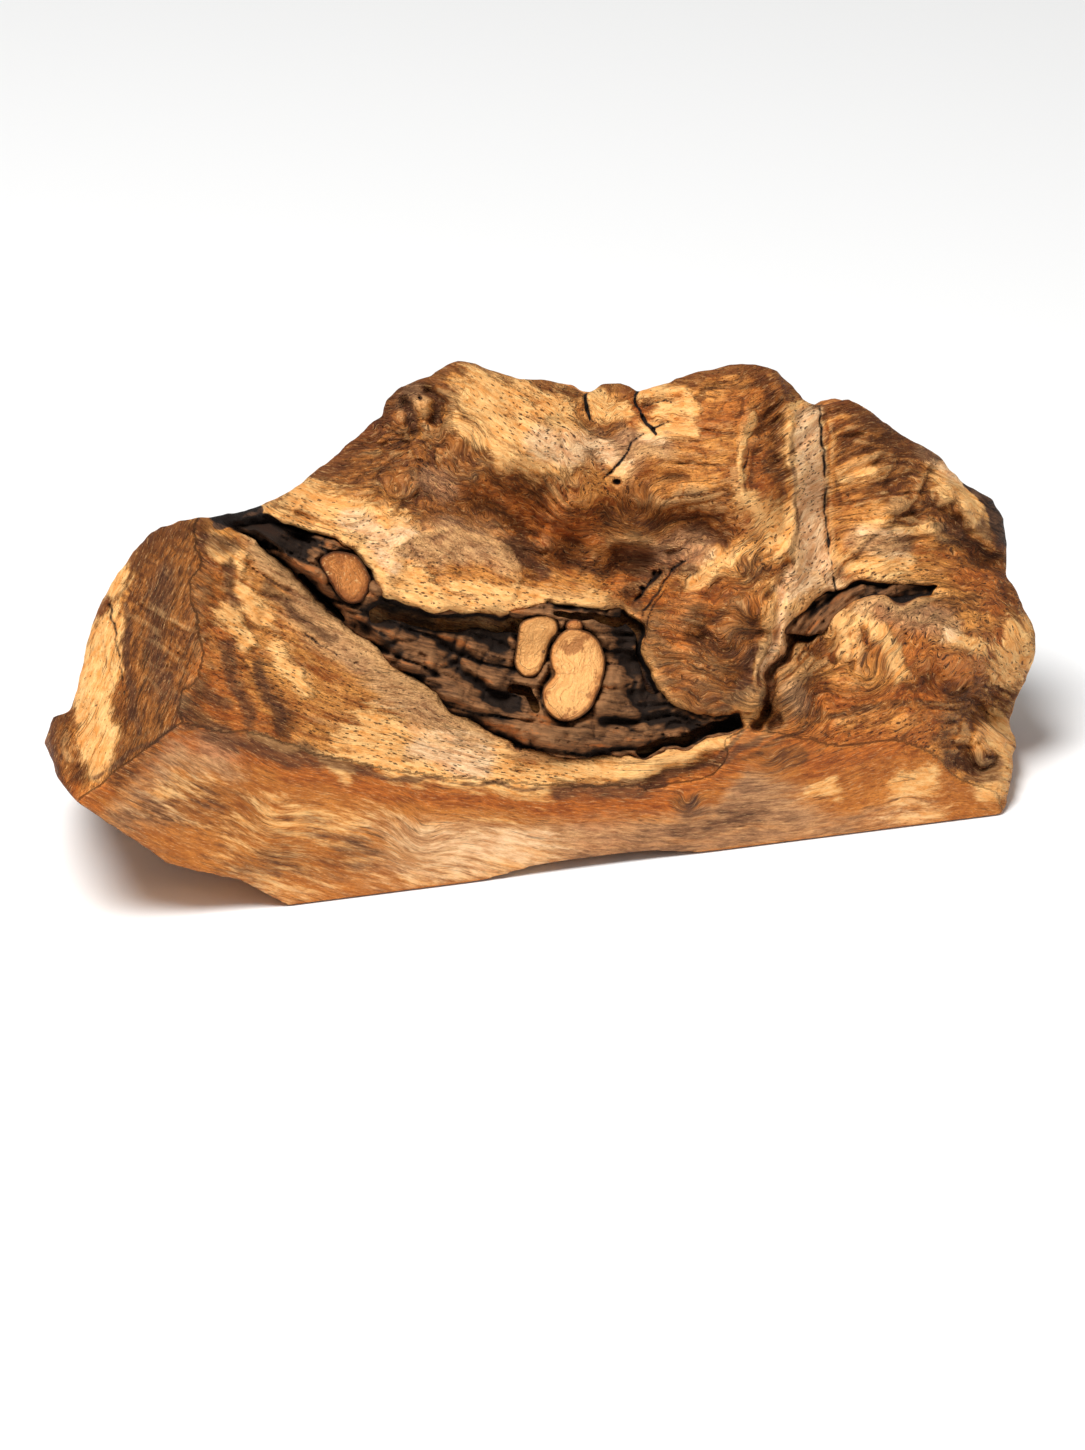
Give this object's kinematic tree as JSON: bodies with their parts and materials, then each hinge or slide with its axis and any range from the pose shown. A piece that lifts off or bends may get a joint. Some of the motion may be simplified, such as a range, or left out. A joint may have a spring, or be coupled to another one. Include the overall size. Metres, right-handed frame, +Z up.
{
  "type": "oak burl",
  "caption": "Weathered oak burl, one solid lump of wood with ingrown bark and knots, sawn flat underneath and along the front so that it rests steadily.",
  "frame": {"origin": "centre of the bounding box's footprint, on the plane that the burl rests on", "axes": "+X along the burl, away from its cleft end, +Y away from the sawn front face, +Z up"},
  "size_m": [0.3417, 0.15, 0.1449],
  "materials": {
    "burl_wood": "bare weathered oak, matt, sawn on the front and underneath",
    "ingrown_bark": "rough dark bark, matt",
    "knot_wood": "smooth pale knot wood, matt"
  },
  "bodies": {
    "root": {"oak_burl": "burl_wood"}
  },
  "joints": []
}
